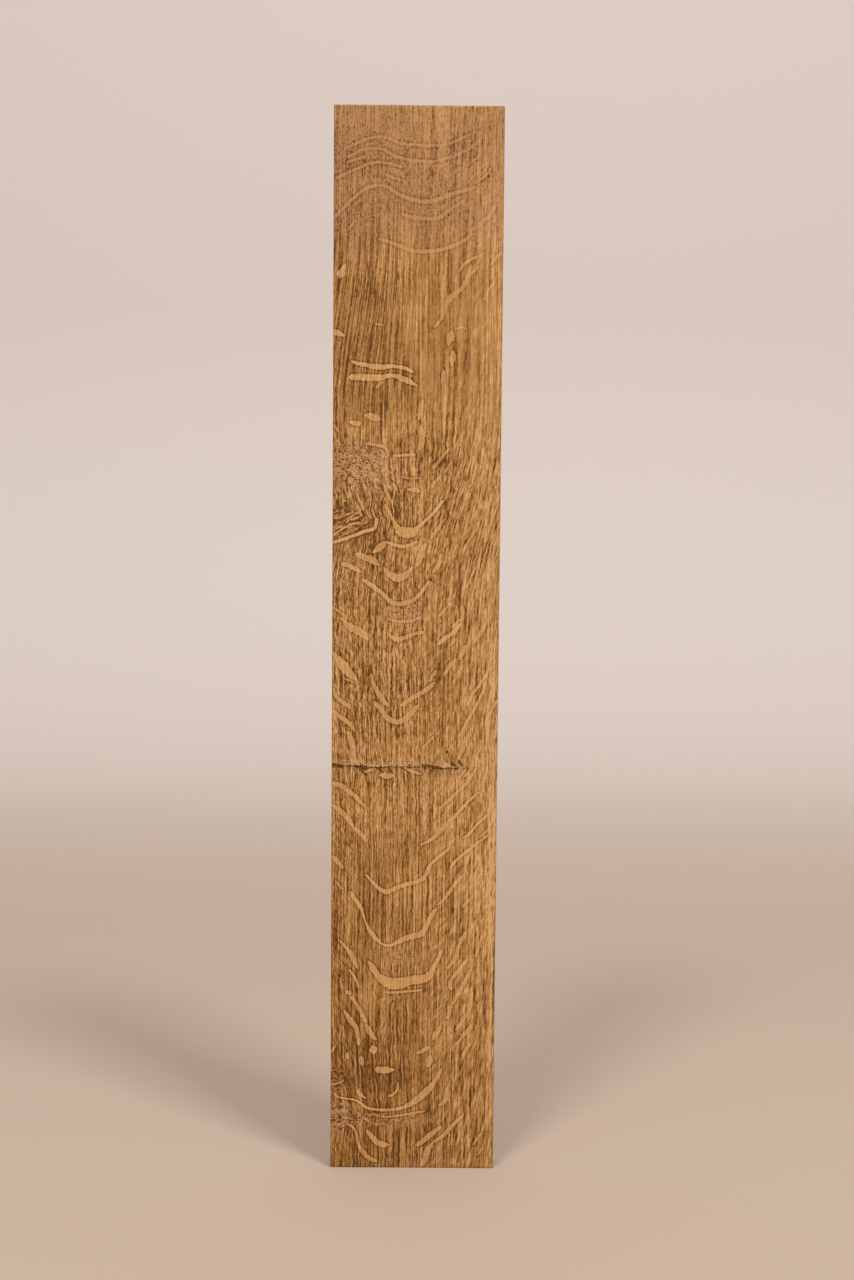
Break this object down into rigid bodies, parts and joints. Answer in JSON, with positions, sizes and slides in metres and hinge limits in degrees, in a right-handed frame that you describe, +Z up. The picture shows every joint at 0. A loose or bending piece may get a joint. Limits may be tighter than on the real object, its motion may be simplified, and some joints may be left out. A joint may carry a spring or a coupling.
{
  "type": "oak board",
  "caption": "Square-edged quarter-sawn oak board with ray fleck figure and a shallow cross-grain check, standing on its sawn end.",
  "frame": {"origin": "middle of the foot end, where the standing board meets the floor", "axes": "+Z up along the grain, +X across the width to the right as the show face is seen, +Y through the thickness from the show face to the back"},
  "size_m": [0.127, 0.019, 0.813],
  "materials": {
    "oak": "planed, between satin and matt; whether it is oiled or bare isn't known"
  },
  "bodies": {
    "root": {"oak_board": "oak"}
  },
  "joints": []
}
